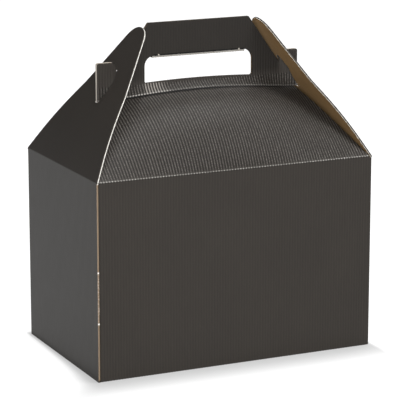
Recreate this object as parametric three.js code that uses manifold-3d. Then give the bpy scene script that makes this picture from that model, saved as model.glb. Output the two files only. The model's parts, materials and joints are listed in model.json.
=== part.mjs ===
// Gable box folded from one die-cut corrugated blank.
// Millimetres, +Z up, X along the front wall, the front wall faces -Y.
// The origin is the centre of the underside of the floor.
import * as THREE from 'three';
import { mergeVertices } from 'three/addons/utils/BufferGeometryUtils.js';
import Module from 'manifold-3d';

const wasm = await Module();
wasm.setup();

// Board
const board = 1.2;
const creasedBoard = 1.0;
const bendRadius = 0.7;
const plyGap = 0.3;
const jointGap = 0.3;

// Inside of the box below the eaves
const insideLength = 203.2;
const insideWidth = 123.8;
const insideDepth = 133.35;

// Roof panels: rise from the eave to the ridge crease, and how far they bulge
const roofRise = 41.2;
const eaveLap = 3;
const roofBulgeMiddle = 9;
const roofBulgeEdge = 0.6;
const ridgeBowOut = 7.5;
const ridgeBowUp = 5.5;
const ridgeBowEase = 1.5;

// Handle panels
const handleHeight = 51.6;
const handleTopLength = 76;
const holeLength = 82;
const holeHeight = 18.6;
const holeAboveRidge = 10.3;
const holeTopRadius = 7;
const holeBottomRadius = 1.5;
const tongueLength = 70;
const tongueHeight = 16;
const tongueCornerRadius = 5;

// Hooks at the ends of the handle panels
const hookReach = 16;
const hookRise = 5.9;
const hookCrownLength = 11.4;
const hookCornerRadius = 1.4;

// Gable flaps
const flapLean = THREE.MathUtils.degToRad(33.5);
const flapLength = 108.2;
const flapTaper = THREE.MathUtils.degToRad(26.4);
const flapTipRadius = 15;
const flapBow = 1.6;
const flapBowLength = 60;
const neckAlongFlap = 74.9;
const slotHalfWidth = 7.2;
const slotTopHalfWidth = 2.8;
const slotBottomHalfWidth = 2.4;
const slotClearance = 0.7;
const slotShoulder = 0.34;
const flapFoot = 1;

// Glue flap inside the left end wall
const glueFlapWidth = 26;
const glueFlapTrim = 5;
const glueFlapSlope = 6;
const gluePadInset = 4;

// Floor flaps
const floorBendRise = 3.6;
const floorBendReach = 4.8;
const floorSideGap = 1.6;
const floorMeetingGap = 2.4;
const floorTabStart = 4;
const floorTabLength = 42;
const floorTabReach = 14;
const floorTabRamp = 5;
const floorTabCorner = 6;
const minorFlapReach = 48;
const minorFlapTaper = 24;
const minorFlapSideGap = 5;
const glueTriangleInset = 6;
const glueTriangleSide = 34;

// Fineness of the curved sheets
const columns = 28;
const roofRows = 9;
const stripRows = 4;
const bendSteps = 4;
const flapSteps = 14;
const arcSteps = 5;

// Places worked out from the sizes above
const halfLength = insideLength / 2 + board;
const halfWidth = insideWidth / 2 + board;
const upperLevel = 1.5 * board + plyGap;
const floorHeight = 2 * board + plyGap;
const eave = floorHeight + insideDepth;
const ridge = eave + roofRise;
const handleTop = ridge + handleHeight;
const handleFace = board + plyGap / 2;
const holeBottom = ridge + holeAboveRidge;
const holeTop = holeBottom + holeHeight;
const overlap = 0.1;
const cutReach = 4 * board;

function toSolid(geometry) {
  const bare = geometry.clone();
  bare.deleteAttribute('normal');
  bare.deleteAttribute('uv');
  const merged = mergeVertices(bare, 1e-4);
  return new wasm.Manifold(new wasm.Mesh({
    numProp: 3,
    vertProperties: merged.attributes.position.array,
    triVerts: new Uint32Array(merged.index.array),
  }));
}

function toGeometry(solid) {
  const mesh = solid.getMesh();
  const geometry = new THREE.BufferGeometry();
  geometry.setAttribute('position', new THREE.BufferAttribute(mesh.vertProperties, 3));
  geometry.setIndex(new THREE.BufferAttribute(mesh.triVerts, 1));
  geometry.computeVertexNormals();
  return geometry;
}

function polygon(points) {
  return new THREE.Shape(points.map(([x, y]) => new THREE.Vector2(x, y)));
}

// A shape drawn in X and Y, raised from bottom to top along Z
function slab(shape, bottom, top) {
  const geometry = new THREE.ExtrudeGeometry(shape, {
    depth: top - bottom, bevelEnabled: false, curveSegments: arcSteps,
  });
  return geometry.translate(0, 0, bottom);
}

// A shape drawn in X and Z, extruded along Y from front to back
function slabAlongY(shape, front, back) {
  return slab(shape, -back, -front).rotateX(Math.PI / 2);
}

// A shape drawn in Y and Z, extruded along X from left to right
function slabAlongX(shape, left, right) {
  const yToX = new THREE.Matrix4().makeBasis(
    new THREE.Vector3(0, 1, 0), new THREE.Vector3(0, 0, 1), new THREE.Vector3(1, 0, 0),
  );
  return slab(shape, left, right).applyMatrix4(yToX);
}

// The section of a folded board: a path with rounded corners, given a thickness
function foldedSection(corners, thickness) {
  const path = corners.map(([x, y]) => new THREE.Vector2(x, y));
  const centre = [path[0]];
  const radius = bendRadius + thickness / 2;
  for (let i = 1; i < path.length - 1; i += 1) {
    const back = path[i - 1].clone().sub(path[i]).normalize();
    const ahead = path[i + 1].clone().sub(path[i]).normalize();
    const run = radius / Math.tan(Math.acos(back.dot(ahead)) / 2);
    const start = path[i].clone().addScaledVector(back, run);
    const end = path[i].clone().addScaledVector(ahead, run);
    centre.push(...new THREE.QuadraticBezierCurve(start, path[i], end).getPoints(bendSteps));
  }
  centre.push(path[path.length - 1]);
  const left = [];
  const right = [];
  centre.forEach((point, i) => {
    const before = centre[Math.max(i - 1, 0)];
    const after = centre[Math.min(i + 1, centre.length - 1)];
    const along = after.clone().sub(before).normalize();
    const across = new THREE.Vector2(-along.y, along.x).multiplyScalar(thickness / 2);
    left.push(point.clone().add(across));
    right.unshift(point.clone().sub(across));
  });
  return new THREE.Shape([...left, ...right]);
}

// A curved board: a grid of points on its outer face, thickened inwards
function curvedBoard(acrossCount, alongCount, outerFace, thickness) {
  const step = 1e-3;
  const rowReach = 0.5;
  const outer = [];
  const inner = [];
  for (let j = 0; j <= alongCount; j += 1) {
    for (let i = 0; i <= acrossCount; i += 1) {
      const point = outerFace(i, j);
      const across = outerFace(Math.min(i + step, acrossCount), j)
        .sub(outerFace(Math.max(i - step, 0), j));
      const along = outerFace(i, Math.min(j + rowReach, alongCount))
        .sub(outerFace(i, Math.max(j - rowReach, 0)));
      const normal = across.cross(along).normalize();
      outer.push(point);
      inner.push(point.clone().addScaledVector(normal, -thickness));
    }
  }
  const width = acrossCount + 1;
  const innerStart = outer.length;
  const index = [];
  const quad = (a, b, c, d) => index.push(a, b, c, a, c, d);
  for (let j = 0; j < alongCount; j += 1) {
    for (let i = 0; i < acrossCount; i += 1) {
      const a = j * width + i;
      quad(a, a + 1, a + 1 + width, a + width);
      quad(innerStart + a, innerStart + a + width, innerStart + a + 1 + width, innerStart + a + 1);
    }
  }
  for (let i = 0; i < acrossCount; i += 1) {
    const top = alongCount * width + i;
    quad(i, innerStart + i, innerStart + i + 1, i + 1);
    quad(top, top + 1, innerStart + top + 1, innerStart + top);
  }
  for (let j = 0; j < alongCount; j += 1) {
    const first = j * width;
    const last = first + acrossCount;
    quad(first, first + width, innerStart + first + width, innerStart + first);
    quad(last, innerStart + last, innerStart + last + width, last + width);
  }
  const geometry = new THREE.BufferGeometry();
  const positions = [...outer, ...inner].flatMap((point) => point.toArray());
  geometry.setAttribute('position', new THREE.Float32BufferAttribute(positions, 3));
  geometry.setIndex(index);
  return geometry;
}

// Gable flap section: how far its outer face bows out at a distance from its crease
function flapBowAt(along) {
  return along < flapBowLength ? flapBow * Math.sin(Math.PI * along / flapBowLength) : 0;
}

// Left edge of roof and handle in the front view: straight, just clear of the leaning flap
function leaningEdge(along) {
  const inset = board + jointGap;
  return [
    -halfLength + along * Math.sin(flapLean) + inset * Math.cos(flapLean),
    eave + along * Math.cos(flapLean) - inset * Math.sin(flapLean),
  ];
}

const neck = leaningEdge(neckAlongFlap);
const hookOuter = neck[0] - hookReach;
const hookTop = neck[1] + hookRise;
const hookCrownEnd = hookOuter + hookCrownLength;

// Distance of a point in the front view from the left flap's crease
function fromFlapCrease(x, z) {
  return Math.hypot(x + halfLength, z - eave);
}

// The hand hole in the front view: rounded at the top, nearly square below
function holeOutline() {
  const half = holeLength / 2;
  const low = holeBottom;
  const high = holeTop;
  const outline = new THREE.Path();
  outline.moveTo(-half + holeBottomRadius, low);
  outline.lineTo(half - holeBottomRadius, low);
  outline.absarc(half - holeBottomRadius, low + holeBottomRadius, holeBottomRadius, -Math.PI / 2, 0);
  outline.absarc(half - holeTopRadius, high - holeTopRadius, holeTopRadius, 0, Math.PI / 2);
  outline.absarc(-half + holeTopRadius, high - holeTopRadius, holeTopRadius, Math.PI / 2, Math.PI);
  outline.absarc(-half + holeBottomRadius, low + holeBottomRadius, holeBottomRadius, Math.PI, Math.PI * 1.5);
  return outline;
}

// Front view of one roof panel with its handle panel and hooks
function roofAndHandleOutline() {
  const foot = leaningEdge(flapFoot);
  const left = [
    [-halfLength + board + 2 * jointGap, eave - 2 * eaveLap],
    foot,
    [foot[0] + (ridge - foot[1]) * Math.tan(flapLean), ridge],
    [hookOuter, ridge],
  ];
  const corner = new THREE.EllipseCurve(
    hookOuter + hookCornerRadius, hookTop - hookCornerRadius,
    hookCornerRadius, hookCornerRadius, Math.PI, Math.PI / 2, true,
  );
  left.push(...corner.getPoints(bendSteps).map((point) => point.toArray()));
  const crown = new THREE.QuadraticBezierCurve(
    new THREE.Vector2(hookCrownEnd, hookTop),
    new THREE.Vector2(hookCrownEnd + hookRise / 3, hookTop - hookRise / 6),
    new THREE.Vector2(...neck),
  );
  left.push(...crown.getPoints(bendSteps).map((point) => point.toArray()));
  left.push([-handleTopLength / 2, handleTop]);
  const right = left.map(([x, z]) => [-x, z]).reverse();
  const outline = polygon([...left, ...right]);
  outline.holes.push(holeOutline());
  return outline;
}

// Share of the full bow at a place along the ridge crease
function ridgeBowAt(x) {
  return Math.max(0, 1 - (x / hookOuter) ** 2) ** ridgeBowEase;
}

// A point on the outer face of the front roof panel: 0 at the eave, 1 at the ridge
function roofPoint(x, share) {
  const bow = ridgeBowAt(x);
  const eavePoint = new THREE.Vector2(-halfWidth + overlap, eave);
  const ridgePoint = new THREE.Vector2(-handleFace - ridgeBowOut * bow, ridge + ridgeBowUp * bow);
  const chord = ridgePoint.clone().sub(eavePoint);
  const outwards = new THREE.Vector2(-chord.y, chord.x).normalize();
  const middle = 1 - (x / halfLength) ** 2;
  const bulge = (roofBulgeEdge + (roofBulgeMiddle - roofBulgeEdge) * middle) * 4 * share * (1 - share);
  const point = eavePoint.addScaledVector(chord, share).addScaledVector(outwards, bulge);
  return new THREE.Vector3(x, point.x, point.y);
}

// A point on the strip between the ridge crease and the foot of the hand hole
function stripPoint(x, share) {
  const bow = ridgeBowAt(x);
  const y = -handleFace - ridgeBowOut * bow * (1 - share) ** ridgeBowEase;
  const z = ridge + ridgeBowUp * bow * (1 - share) + holeAboveRidge * share;
  return new THREE.Vector3(x, y, z);
}

// Front roof panel, strip and handle panel as one curved board, cut to its outline
function frontRoofAndHandle() {
  const ridgeRow = 1 + roofRows;
  const holeRow = ridgeRow + stripRows;
  const outerFace = (i, j) => {
    const x = -halfLength + (2 * halfLength * i) / columns;
    if (j < 1) return new THREE.Vector3(x, -halfWidth + overlap, eave - eaveLap * (1 - j));
    if (j <= ridgeRow) return roofPoint(x, (j - 1) / roofRows);
    if (j <= holeRow) return stripPoint(x, (j - ridgeRow) / stripRows);
    return new THREE.Vector3(x, -handleFace, holeBottom + (handleTop - holeBottom) * (j - holeRow));
  };
  const sheet = toSolid(curvedBoard(columns, holeRow + 1, outerFace, board));
  const outline = toSolid(slabAlongY(roofAndHandleOutline(), -2 * halfWidth, halfWidth));
  return sheet.intersect(outline);
}

// The front handle panel's tongue, folded back through both hand holes
function tongue() {
  const backFace = handleFace + plyGap + board / 2;
  const foldHeight = holeTop - plyGap - creasedBoard / 2;
  const top = foldHeight + tongueHeight;
  const section = foldedSection([
    [-handleFace + board / 2, holeTop + board],
    [-handleFace + board / 2, foldHeight],
    [backFace, foldHeight],
    [backFace, top],
  ], creasedBoard);
  const half = tongueLength / 2;
  const corner = tongueCornerRadius;
  const outline = new THREE.Shape();
  outline.moveTo(-half, foldHeight - creasedBoard);
  outline.lineTo(half, foldHeight - creasedBoard);
  outline.lineTo(half, top - corner);
  outline.absarc(half - corner, top - corner, corner, 0, Math.PI / 2);
  outline.absarc(-half + corner, top - corner, corner, Math.PI / 2, Math.PI);
  const strip = toSolid(slabAlongX(section, -half, half));
  return strip.intersect(toSolid(slabAlongY(outline, -halfWidth, halfWidth)));
}

// Four walls and the glue flap, bent from one strip; the seam is at the front left corner
function walls() {
  const x = halfLength - board / 2;
  const y = halfWidth - board / 2;
  const glueX = -x + board + plyGap;
  const section = foldedSection([
    [-x, -halfWidth],
    [-x, y],
    [x, y],
    [x, -y],
    [glueX, -y],
    [glueX, -y + glueFlapWidth],
  ], board);
  const low = board + bendRadius;
  const high = eave - jointGap / 2;
  const tube = toSolid(slab(section, low, high));
  const flapStart = -halfWidth + board + bendRadius;
  const flapEnd = -halfWidth + glueFlapWidth + 2 * board;
  const trim = (edge, inwards) => toSolid(slabAlongX(polygon([
    [flapStart, edge - inwards],
    [flapEnd, edge - inwards],
    [flapEnd, edge + inwards * (glueFlapTrim + glueFlapSlope)],
    [flapStart, edge + inwards * glueFlapTrim],
  ]), -halfLength + board + plyGap / 2, glueX + board));
  const pad = toSolid(slabAlongX(polygon([
    [flapStart + gluePadInset, low + glueFlapTrim + glueFlapSlope + gluePadInset],
    [-y + glueFlapWidth - gluePadInset, low + glueFlapTrim + glueFlapSlope + gluePadInset],
    [-y + glueFlapWidth - gluePadInset, high - glueFlapTrim - glueFlapSlope - gluePadInset],
    [flapStart + gluePadInset, high - glueFlapTrim - glueFlapSlope - gluePadInset],
  ]), -halfLength + board - overlap, -halfLength + board + plyGap + overlap));
  return tube.subtract(trim(low, 1)).subtract(trim(high, -1)).add(pad);
}

// Front floor flap: bent from the front wall, with a locking tab over the back one
function frontFloorFlap() {
  const half = halfLength - floorSideGap;
  const y = halfWidth - board / 2;
  const bendEnd = -halfWidth + floorBendReach;
  const bend = toSolid(slabAlongX(foldedSection([
    [-y, floorBendRise],
    [-y, board / 2],
    [bendEnd, board / 2],
  ], creasedBoard), -half, half));
  const tabEnd = floorTabStart + floorTabLength;
  const panel = toSolid(slab(polygon([
    [-half, bendEnd - board],
    [half, bendEnd - board],
    [half, -2 * floorMeetingGap],
    [tabEnd + floorTabRamp, -floorMeetingGap / 2],
    [floorTabStart, -floorMeetingGap / 2],
    [-tabEnd - floorTabRamp, -floorMeetingGap / 2],
    [-half, -2 * floorMeetingGap],
  ]), 0, board));
  const tabStrip = toSolid(slabAlongX(foldedSection([
    [-3 * floorTabRamp, board / 2],
    [-floorTabRamp, board / 2],
    [0, upperLevel],
    [floorTabReach, upperLevel],
  ], creasedBoard), floorTabStart, tabEnd));
  const tabOutline = toSolid(slab(polygon([
    [floorTabStart, -4 * floorTabRamp],
    [tabEnd, -4 * floorTabRamp],
    [tabEnd, floorTabReach - floorTabCorner],
    [tabEnd - floorTabCorner, floorTabReach],
    [floorTabStart + floorTabCorner, floorTabReach],
    [floorTabStart, floorTabReach - floorTabCorner],
  ]), -board, cutReach));
  return bend.add(panel).add(tabStrip.intersect(tabOutline));
}

// Left end floor flap: lies on the long flaps and is glued to their corner triangles
function leftFloorFlap() {
  const x = halfLength - board / 2;
  const half = halfWidth - minorFlapSideGap;
  const bendEnd = -halfLength + floorBendReach;
  const bend = toSolid(slabAlongY(foldedSection([
    [-x, floorBendRise + board],
    [-x, upperLevel],
    [bendEnd, upperLevel],
  ], creasedBoard), -half, half));
  const tip = -halfLength + minorFlapReach;
  const panel = toSolid(slab(polygon([
    [bendEnd - board, -half],
    [tip, -half + minorFlapTaper],
    [tip, half - minorFlapTaper],
    [bendEnd - board, half],
  ]), upperLevel - board / 2, upperLevel + board / 2));
  const padX = -halfLength + glueTriangleInset;
  const padY = half - glueTriangleInset;
  const gluePad = (side) => toSolid(slab(polygon([
    [padX, side * padY],
    [padX + glueTriangleSide, side * (padY - glueTriangleSide / 2)],
    [padX, side * (padY - glueTriangleSide)],
  ]), board - overlap, board + plyGap + overlap));
  return bend.add(panel).add(gluePad(-1)).add(gluePad(1));
}

function halfTurned(solid) {
  return toSolid(toGeometry(solid).rotateZ(Math.PI));
}

function carton() {
  const front = frontRoofAndHandle();
  const frontFloor = frontFloorFlap();
  const leftFloor = leftFloorFlap();
  return walls()
    .add(front)
    .add(halfTurned(front))
    .add(tongue())
    .add(frontFloor)
    .add(halfTurned(frontFloor))
    .add(leftFloor)
    .add(halfTurned(leftFloor));
}

// Outline of a gable flap, upright: X across, Y away from the crease, with its slot
function flapOutline() {
  const apex = halfWidth / Math.tan(flapTaper);
  const tipCentre = flapLength - flapTipRadius;
  const blend = Math.PI / 2 - flapTaper;
  const radius = Math.min(flapTipRadius, (apex - tipCentre) * Math.sin(flapTaper));
  const half = halfWidth - flapFoot * Math.tan(flapTaper);
  const outline = new THREE.Shape();
  outline.moveTo(-half, flapFoot);
  outline.lineTo(half, flapFoot);
  outline.absarc(0, tipCentre, radius, Math.PI / 2 - blend, Math.PI / 2 + blend);
  const slotTop = Math.max(
    fromFlapCrease(hookCrownEnd, hookTop),
    fromFlapCrease(...neck),
  ) + slotClearance;
  const slotBottom = fromFlapCrease(hookOuter, ridge) - slotClearance;
  const shoulder = slotTop - (slotTop - slotBottom) * slotShoulder;
  const slot = new THREE.Path();
  slot.moveTo(-slotBottomHalfWidth, slotBottom);
  slot.lineTo(slotBottomHalfWidth, slotBottom);
  slot.lineTo(slotHalfWidth, shoulder);
  slot.lineTo(slotTopHalfWidth, slotTop);
  slot.lineTo(-slotTopHalfWidth, slotTop);
  slot.lineTo(-slotHalfWidth, shoulder);
  outline.holes.push(slot);
  return outline;
}

// A gable flap standing on its crease, outer face towards -X
function gableFlap() {
  const outer = [];
  const inner = [];
  for (let i = 0; i <= flapSteps; i += 1) {
    const along = (flapLength * i) / flapSteps;
    outer.push([-flapBowAt(along), along]);
    inner.unshift([board - flapBowAt(along), along]);
  }
  const bowed = toSolid(slabAlongY(polygon([...outer, ...inner]), -halfWidth, halfWidth));
  return bowed.intersect(toSolid(slabAlongX(flapOutline(), -cutReach, cutReach)));
}

const outerBoard = { color: 0x2e2c2a, roughness: 0.5, metalness: 0 };

function boardMesh(name, solid) {
  const mesh = new THREE.Mesh(toGeometry(solid), new THREE.MeshStandardMaterial(outerBoard));
  mesh.name = name;
  return mesh;
}

// Each flap leans in from its crease; the right one is the left one half turned
function hungFlap(name, turn) {
  const flap = boardMesh(name, gableFlap());
  flap.rotation.y = flapLean;
  const crease = new THREE.Group();
  crease.position.set(-halfLength * Math.cos(turn), 0, eave);
  crease.rotation.z = turn;
  crease.add(flap);
  return crease;
}

const gableBox = new THREE.Group();
gableBox.add(boardMesh('carton', carton()));
gableBox.add(hungFlap('left_gable_flap', 0));
gableBox.add(hungFlap('right_gable_flap', Math.PI));

export default gableBox;
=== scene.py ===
import json
import math

import bmesh
import bpy
from mathutils import Matrix, Vector


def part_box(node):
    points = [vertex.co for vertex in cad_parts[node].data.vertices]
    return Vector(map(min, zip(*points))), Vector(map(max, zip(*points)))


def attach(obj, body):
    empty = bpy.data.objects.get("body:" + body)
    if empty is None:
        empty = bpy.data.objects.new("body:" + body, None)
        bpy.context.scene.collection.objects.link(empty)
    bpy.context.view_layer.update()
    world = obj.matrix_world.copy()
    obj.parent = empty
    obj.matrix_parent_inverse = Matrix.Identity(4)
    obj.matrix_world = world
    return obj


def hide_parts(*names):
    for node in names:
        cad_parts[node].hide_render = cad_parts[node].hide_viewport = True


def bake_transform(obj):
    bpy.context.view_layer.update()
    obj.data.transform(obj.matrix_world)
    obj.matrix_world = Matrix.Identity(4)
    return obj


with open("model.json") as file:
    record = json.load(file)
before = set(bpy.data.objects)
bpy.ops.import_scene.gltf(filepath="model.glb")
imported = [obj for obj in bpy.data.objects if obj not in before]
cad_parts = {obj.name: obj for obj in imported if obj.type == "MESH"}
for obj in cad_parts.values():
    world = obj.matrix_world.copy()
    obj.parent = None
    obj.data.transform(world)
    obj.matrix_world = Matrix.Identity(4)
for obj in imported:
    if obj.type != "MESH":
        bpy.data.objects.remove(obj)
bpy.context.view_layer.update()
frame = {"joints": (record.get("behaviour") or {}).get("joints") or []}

# Sizes below are in millimetres, and a mesh is scaled to metres when it is made
MM = 0.001
carton_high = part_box("carton")[1]
crease_places = {joint["name"]: joint["pos_m"] for joint in frame["joints"]}
crease_place = crease_places["right_flap_crease"]
HALF_LENGTH = crease_place[0] / MM
HALF_WIDTH = carton_high[1] / MM
EAVE = crease_place[2] / MM
HANDLE_TOP = carton_high[2] / MM

# Board
BOARD = 1.2
PLY_GAP = 0.3
JOINT_GAP = 0.3
FLUTE = 2.03
FLUTE_DEPTH = 0.11
# The relief of the flutes on the roof and on the ends, as a share of their depth
ROOF_FLUTES = 2.2
END_FLUTES = 0.4
STEPS_PER_FLUTE = 6
LEAST_STEP = 0.05
# How far the cutters of the flaps reach past the board, in board thicknesses
CUTTER_REACH = 8
CORNER_RADIUS = 0.8
BEND_STEPS = 6
# How far the pieces above the eave reach down past their creases
JOIN = 1.0
# Edges sharper than this are drawn crisp
CRISP_EDGE = math.radians(38)
CRISP_BEND_EDGE = math.radians(50)

# Roof and handle
ROOF_RISE = 41.2
RIDGE = EAVE + ROOF_RISE
BULGE_MIDDLE = 9
BULGE_EDGE = 0.6
RIDGE_BOW_OUT = 7.5
RIDGE_BOW_UP = 5.5
RIDGE_BOW_EASE = 1.5
CREASE_DEPTH = 0.3
HANDLE_FACE = BOARD + PLY_GAP / 2
HANDLE_TOP_LENGTH = 76
HOLE_LENGTH = 82
HOLE_HEIGHT = 18.6
HOLE_BOTTOM = RIDGE + 10.3
HOLE_TOP = HOLE_BOTTOM + HOLE_HEIGHT
HOLE_TOP_RADIUS = 7
HOLE_BOTTOM_RADIUS = 1.5
HOLE_BOTTOM_BOW = 1.1
TONGUE_LENGTH = 70
TONGUE_HEIGHT = 16
TONGUE_CORNER = 5
TONGUE_BEND = 0.45
TONGUE_FRONT_SETBACK = 0.5
TONGUE_THINNING = 0.2
TONGUE_ROWS = 4
# Rows of the roof sheet: shares of the way from eave to ridge, and numbers of rows above it
ROOF_FOOT_ROWS = (0, 0.006, 0.015, 0.03)
ROOF_FIRST_ROW = 0.06
ROOF_LAST_ROW = 0.99
ROOF_ROWS = 22
STRIP_ROWS = 8
HANDLE_ROWS = 6
HOLE_BOTTOM_STEPS = 12

# Hooks
HOOK_REACH = 14.62
HOOK_RISE = 8
HOOK_CROWN = 11.4
HOOK_CORNER = 1.4
# Where the crown bends down to the neck: in from its end and down, as shares of the rise
CROWN_BEND = (1 / 3, 1 / 6)

# Gable flaps
LEAN = math.radians(33.5)
FLAP_LENGTH = 108.2
FLAP_TAPER = math.radians(26.4)
FLAP_TIP_RADIUS = 15
FLAP_TIP_STEPS = 16
FLAP_ROWS = 30
FLAP_BOW_LENGTH = 60
# How far each flap bows out near its foot and springs off the handle at its tip
FLAP_BOW = {-1: 1.4, 1: 1.7}
FLAP_SPRING = {-1: 0.0, 1: 2.4}
NECK_ALONG = 72.4
# Half widths of the kite slot, and its room below and above the hooks. The right slot is
# higher, because its flap springs off the neck
SLOT_HALF = 7.2
SLOT_TOP_HALF = {-1: 2.0, 1: 1.45}
SLOT_BOTTOM_HALF = 2.4
SLOT_CLEARANCE = 0.7
SLOT_TOP_ROOM = {-1: 2.3, 1: 3.6}
SLOT_SHOULDER = 0.34
# The bent board between an end wall and its flap
CREASE_STRIP = 3.0
CREASE_ROWS = 10

# Floor and glue flap
FLOOR_JOIN = 3.4
END_FOOT = 0.1
FLOOR_SIDE_GAP = 1.6
FLOOR_MEETING = 1.2
FLOOR_CUT_BACK = 2.4
TAB_START = 4
TAB_END = 46
TAB_REACH = 14
TAB_RAMP = 5
TAB_LIFT = 0.05
FLOOR_ROWS = 6
WALL_ROWS = 6
MINOR_REACH = 48
MINOR_TAPER = 24
MINOR_SIDE_GAP = 5
GLUE_FLAP_WIDTH = 26
GLUE_FLAP_TRIM = 6
GLUE_FLAP_FREE_TRIM = 0.4

# Camera, fitted to the corners of the body
CAMERA_YAW = math.radians(25.141)
CAMERA_PITCH = math.radians(13.225)
CAMERA_DISTANCE = 1548.9
CAMERA_AIM = (1.17, 98.72)
CAMERA_LENS = 196.2
CAMERA_SENSOR = 36

# Lamps: where each one stands in metres, and its power in watts
LAMPS = {
    "top_light": ((0, 0, 1.5), 12.5),
    "top_side_light": ((0.6, -0.15, 1.35), 2.7),
    "top_back_light": ((0.6, 0.5, 1.25), 6.1),
    "top_right_light": ((0.7, -0.75, 1.15), 11.6),
    "front_light": ((-0.55, -1.33, 0.42), 18),
}
LAMP_AIM = (0, 0, 0.12)
LAMP_SIZE = 0.7

# Room, in metres: the backdrop turns into the ceiling between two heights of the view direction
CEILING = 0.03
CEILING_STARTS = (0.06, 0.11)
FLOOR_SIZE = 6
FLOOR_DROP = 0.0001
FLOOR_GLOW = 0.92
FLOOR_TONE = 0.2
# The floor's own glow fades up to full white between these distances in metres
FLOOR_FADE = (0.2, 1.4)
# Painted shadow beside the box, a lower glow of the floor: its level, its reach in millimetres,
# and how much narrower it is beside the ends, towards the back, towards the right and behind
# the box
CONTACT_SHADOW_GLOW = 0.44
CONTACT_REACH = 42
END_CONTACT = 2
END_CONTACT_BACK = 8
END_CONTACT_RIGHT = 5
BACK_CONTACT = 4


# Where a Mix node keeps its share, its two colours and its result among its sockets
MIX_SHARE, MIX_FIRST, MIX_SECOND, MIX_RESULT = 0, 6, 7, 2


class Wire:
    """A shader value that takes part in sums."""

    def __init__(self, nodes, socket):
        self.nodes = nodes
        self.socket = socket

    def maths(self, operation, first, second=0.0):
        return self.nodes.node(
            "ShaderNodeMath", {"operation": operation}, {0: first, 1: second}
        )

    def __add__(self, other):
        return self.maths("ADD", self, other)

    def __radd__(self, other):
        return self.maths("ADD", other, self)

    def __sub__(self, other):
        return self.maths("SUBTRACT", self, other)

    def __rsub__(self, other):
        return self.maths("SUBTRACT", other, self)

    def __mul__(self, other):
        return self.maths("MULTIPLY", self, other)

    def __rmul__(self, other):
        return self.maths("MULTIPLY", other, self)

    def __truediv__(self, other):
        return self.maths("DIVIDE", self, other)

    def __abs__(self):
        return self.maths("ABSOLUTE", self)

    def __pow__(self, power):
        return self.maths("POWER", self, power)

    def positive(self):
        return self.maths("MAXIMUM", self)

    def cosine(self):
        return self.maths("COSINE", self)

    def sine(self):
        return self.maths("SINE", self)

    def above(self, start, end):
        """0 below start, 1 above end, smooth between."""
        return self.nodes.node(
            "ShaderNodeMapRange",
            {"interpolation_type": "SMOOTHSTEP"},
            {"Value": self, "From Min": start, "From Max": end},
        )

    def below(self, start, end):
        return 1 - self.above(start, end)


class Nodes:
    """A node tree that is put together in code."""

    def __init__(self, tree):
        self.tree = tree

    def join(self, value, socket):
        if isinstance(value, Wire):
            self.tree.links.new(value.socket, socket)
        else:
            socket.default_value = value

    def node(self, kind, settings=None, inputs=None, output=0):
        made = self.tree.nodes.new(kind)
        for key, value in (settings or {}).items():
            setattr(made, key, value)
        for key, value in (inputs or {}).items():
            self.join(value, made.inputs[key])
        return Wire(self, made.outputs[output])

    def parts(self, direction):
        """The X, Y and Z of a vector as three wires."""
        split = self.tree.nodes.new("ShaderNodeSeparateXYZ")
        self.join(direction, split.inputs[0])
        return [Wire(self, split.outputs[axis]) for axis in range(3)]

    def place(self):
        """Object coordinates, and the same in millimetres as three wires."""
        coordinates = self.node("ShaderNodeTexCoord", output="Object")
        return coordinates, [part * (1 / MM) for part in self.parts(coordinates)]

    def facing(self):
        """The surface normal as three wires."""
        return self.parts(self.node("ShaderNodeNewGeometry", output="Normal"))

    def noise(self, coordinates, scale, detail=3.0, stretch=(1, 1, 1)):
        mapped = self.node(
            "ShaderNodeMapping", None, {"Vector": coordinates, "Scale": stretch}
        )
        return self.node(
            "ShaderNodeTexNoise", None,
            {"Vector": mapped, "Scale": scale, "Detail": detail},
        )

    def blend(self, share, first, second):
        mixed = self.tree.nodes.new("ShaderNodeMix")
        mixed.data_type = "RGBA"
        self.join(share, mixed.inputs[MIX_SHARE])
        for value, place in ((first, MIX_FIRST), (second, MIX_SECOND)):
            colour = value if isinstance(value, Wire) else (*value, 1)
            self.join(colour, mixed.inputs[place])
        return Wire(self, mixed.outputs[MIX_RESULT])

    def bump(self, height, depth):
        return self.node(
            "ShaderNodeBump", None,
            {"Height": height, "Distance": depth * MM, "Strength": 1.0},
        )


class Finish(Nodes):
    """A material that is put together from nodes."""

    def __init__(self, name):
        self.material = bpy.data.materials.new(name)
        self.material.use_nodes = True
        super().__init__(self.material.node_tree)
        self.shader = self.tree.nodes["Principled BSDF"]

    def finish(self, **inputs):
        for key, value in inputs.items():
            name = key.replace("_", " ")
            self.join(value, self.shader.inputs[name])
        return self.material


# Finishes. In the pairs below a mark is whole up to the first value and gone at the second,
# or the other way round; a stroke's pair is measured from its middle line

FILM = (0.0325, 0.0287, 0.0256)
FILM_WORN_AND_SHEEN = (0.048, 0.0425, 0.0362)
# Painted shade for the handle panels and under the eave crease
FILM_PAINTED_SHADE = (0.008, 0.0075, 0.007)
# Painted shadow along the ridge crease, the hole's lip and the tongue's fold
FILM_PAINTED_SHADOW = (0.004, 0.004, 0.004)
FILM_GLOSS = 0.1
FILM_ROUGHNESS = 0.32
FILM_ROUGH_FIBRES = 0.16
FILM_SMOOTH_CRESTS = 0.06
FILM_GRAIN = 0.03
FILM_FIBRES = {"scale": 700, "detail": 4, "stretch": (1, 1, 0.12)}
FILM_CLOUD = {"scale": 22, "detail": 3}
FILM_SPECK = {"scale": 1500, "detail": 2}
# How much the flute crests (a painted sheen), the fibres and a slow cloud (wear) pale the film,
# and the share spared
CREST_SHEEN, WEAR_FIBRES, WEAR_CLOUD, WEAR_SPARED = 0.45, 0.5, 0.45, 0.4
GRAIN_FIBRES, GRAIN_SPECK = 0.6, 0.4

# Cracks in the film, which come first on the flute crests
CRACK_FAINT = (0.15, 0.145, 0.135)
CRACK_PALE = (0.45, 0.43, 0.4)
CRACK_CREST, CRACK_SPECK = 0.7, 0.6

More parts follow.
